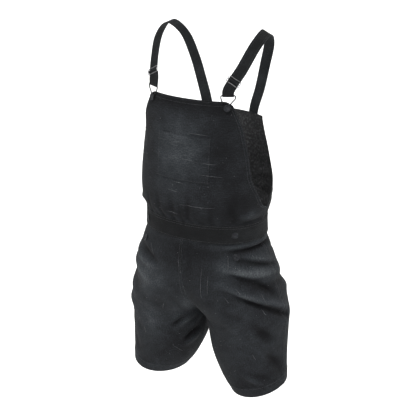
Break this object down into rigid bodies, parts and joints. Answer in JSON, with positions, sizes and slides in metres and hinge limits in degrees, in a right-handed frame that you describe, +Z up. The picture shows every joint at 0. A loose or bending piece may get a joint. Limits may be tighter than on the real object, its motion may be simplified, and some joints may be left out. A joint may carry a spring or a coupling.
{
  "type": "shortalls",
  "caption": "Dungaree shorts in washed black denim, standing open as if worn: wide bib with patch pocket, back panel, waistband, short legs and buckled straps.",
  "frame": {"origin": "midway between the two straps, where they cross the wearer's shoulders", "axes": "+Z up, +X towards the wearer's left, -Y towards the front"},
  "size_m": [0.3998, 0.252, 0.852],
  "materials": {
    "bib_denim": "washed black twill, faded blue-grey in the middle",
    "pocket_denim": "washed black twill",
    "back_denim": "washed black twill, matt",
    "band_denim": "washed black twill, matt",
    "leg_denim": "washed black twill, faded on the thighs",
    "strap_cloth": "charcoal doubled strap, matt",
    "buckle_metal": "satin steel wire",
    "button_metal": "dark gunmetal"
  },
  "bodies": {
    "root": {"bib_front": "bib_denim", "bib_pocket": "pocket_denim", "back_panel": "back_denim", "waistband_front": "band_denim", "waistband_back": "band_denim", "leg_front_left": "leg_denim", "leg_front_right": "leg_denim", "leg_back_left": "leg_denim", "leg_back_right": "leg_denim", "strap_left": "strap_cloth", "strap_right": "strap_cloth", "strap_slider_left": "buckle_metal", "strap_slider_right": "buckle_metal", "bib_buckle_left": "buckle_metal", "bib_buckle_right": "buckle_metal", "bib_button_left": "button_metal", "bib_button_right": "button_metal", "waist_button_left": "button_metal", "waist_button_right": "button_metal", "hip_button_left": "button_metal", "hip_button_right": "button_metal"}
  },
  "joints": []
}
